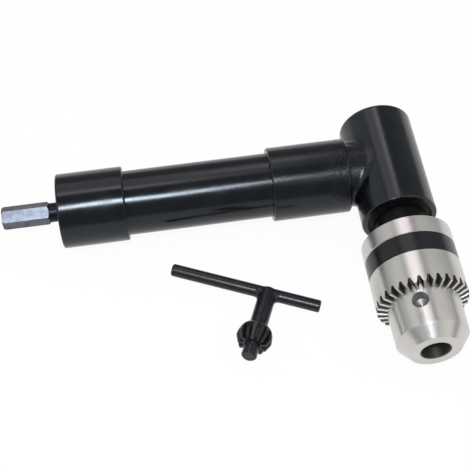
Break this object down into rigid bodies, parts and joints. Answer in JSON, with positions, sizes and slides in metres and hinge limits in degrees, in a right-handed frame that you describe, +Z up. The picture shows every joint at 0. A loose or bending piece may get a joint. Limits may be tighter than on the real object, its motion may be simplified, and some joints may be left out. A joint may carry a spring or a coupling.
{
  "type": "right angle drill attachment",
  "caption": "Tube-shaped right angle drive with a hex shank at one end and a geared head at the other that turns a keyed three-jaw drill chuck; its chuck key lies beside it.",
  "frame": {"origin": "centre of the free end of the hex shank", "axes": "+X along the input shaft towards the gear head, -Y the way the chuck points, +Z up; it lies on its side as pictured"},
  "size_m": [0.1741, 0.108, 0.0354],
  "materials": {
    "black_paint": "gloss black enamel",
    "dark_steel": "dark, slightly oily",
    "machined_steel": "machined",
    "bearing_steel": "ground",
    "seal_rubber": "matte",
    "chuck_steel": "fine turned, satin",
    "black_band": "gloss black",
    "black_oxide": "black oxide, dull"
  },
  "bodies": {
    "housing": {"rear_collar": "black_paint", "main_tube": "black_paint", "front_sleeve": "black_paint", "gear_head": "black_paint", "head_cap": "black_paint", "rear_circlip": "dark_steel", "mouth_circlip": "dark_steel", "spindle_seal": "seal_rubber", "rear_bearing_outer": "bearing_steel", "front_bearing_outer": "bearing_steel", "top_bearing_outer": "bearing_steel", "low_bearing_outer": "bearing_steel"},
    "input_shaft": {"drive_shaft": "dark_steel", "shaft_spacer": "machined_steel", "shaft_circlip": "dark_steel", "bevel_pinion": "machined_steel", "pinion_pin": "dark_steel", "rear_bearing_inner": "bearing_steel", "front_bearing_inner": "bearing_steel"},
    "rear_cage": {"rear_bearing_balls": "bearing_steel"},
    "front_cage": {"front_bearing_balls": "bearing_steel"},
    "top_cage": {"top_bearing_balls": "bearing_steel"},
    "low_cage": {"low_bearing_balls": "bearing_steel"},
    "spindle": {"output_spindle": "black_oxide", "bevel_gear": "machined_steel", "gear_key": "dark_steel", "spindle_spacer": "machined_steel", "spindle_circlip": "dark_steel", "top_bearing_inner": "bearing_steel", "low_bearing_inner": "bearing_steel", "chuck_body": "chuck_steel", "chuck_screw": "dark_steel"},
    "chuck_ring": {"chuck_sleeve": "chuck_steel", "sleeve_band": "black_band", "split_nut_1": "machined_steel", "split_nut_2": "machined_steel"},
    "jaw_one": {"jaw_1": "machined_steel"},
    "jaw_two": {"jaw_2": "machined_steel"},
    "jaw_three": {"jaw_3": "machined_steel"},
    "chuck_key": {"key_shank": "black_oxide", "key_bar": "black_oxide"}
  },
  "joints": [
    {"name": "spindle_spin", "type": "hinge", "parent": "housing", "child": "spindle", "pos_m": [0.1563, 0, 0], "axis": [0, -1, 0], "continuous": true},
    {"name": "shaft_spin", "type": "hinge", "parent": "housing", "child": "input_shaft", "pos_m": [0, 0, 0], "axis": [1, 0, 0], "continuous": true},
    {"name": "rear_cage_spin", "type": "hinge", "parent": "housing", "child": "rear_cage", "pos_m": [0.0296, 0, 0], "axis": [1, 0, 0], "continuous": true},
    {"name": "front_cage_spin", "type": "hinge", "parent": "housing", "child": "front_cage", "pos_m": [0.1358, 0, 0], "axis": [1, 0, 0], "continuous": true},
    {"name": "top_cage_spin", "type": "hinge", "parent": "housing", "child": "top_cage", "pos_m": [0.1563, 0.0147, 0], "axis": [0, -1, 0], "continuous": true},
    {"name": "low_cage_spin", "type": "hinge", "parent": "housing", "child": "low_cage", "pos_m": [0.1563, -0.0176, 0], "axis": [0, -1, 0], "continuous": true},
    {"name": "sleeve_turn", "type": "hinge", "parent": "spindle", "child": "chuck_ring", "pos_m": [0.1563, -0.055, 0], "axis": [0, 1, 0], "range_deg": [0, 4240.5]},
    {"name": "jaw_one_slide", "type": "slide", "parent": "spindle", "child": "jaw_one", "axis": [-0.184, -0.9636, -0.1938], "range_m": [0, 0.01834]},
    {"name": "jaw_two_slide", "type": "slide", "parent": "spindle", "child": "jaw_two", "axis": [-0.0759, -0.9636, 0.2562], "range_m": [0, 0.01834]},
    {"name": "jaw_three_slide", "type": "slide", "parent": "spindle", "child": "jaw_three", "axis": [0.2599, -0.9636, -0.0624], "range_m": [0, 0.01834]},
    {"name": "key_lift", "type": "slide", "parent": "housing", "child": "chuck_key", "axis": [0, 0, 1], "range_m": [0, 0.06]}
  ],
  "couplings": [
    {"joint": "shaft_spin", "follows": "spindle_spin", "ratio": 1},
    {"joint": "rear_cage_spin", "follows": "spindle_spin", "ratio": 0.3677},
    {"joint": "front_cage_spin", "follows": "spindle_spin", "ratio": 0.3677},
    {"joint": "top_cage_spin", "follows": "spindle_spin", "ratio": 0.3677},
    {"joint": "low_cage_spin", "follows": "spindle_spin", "ratio": 0.3677},
    {"joint": "jaw_one_slide", "follows": "sleeve_turn", "m_per_rad": 0.00024774},
    {"joint": "jaw_two_slide", "follows": "sleeve_turn", "m_per_rad": 0.00024774},
    {"joint": "jaw_three_slide", "follows": "sleeve_turn", "m_per_rad": 0.00024774}
  ]
}
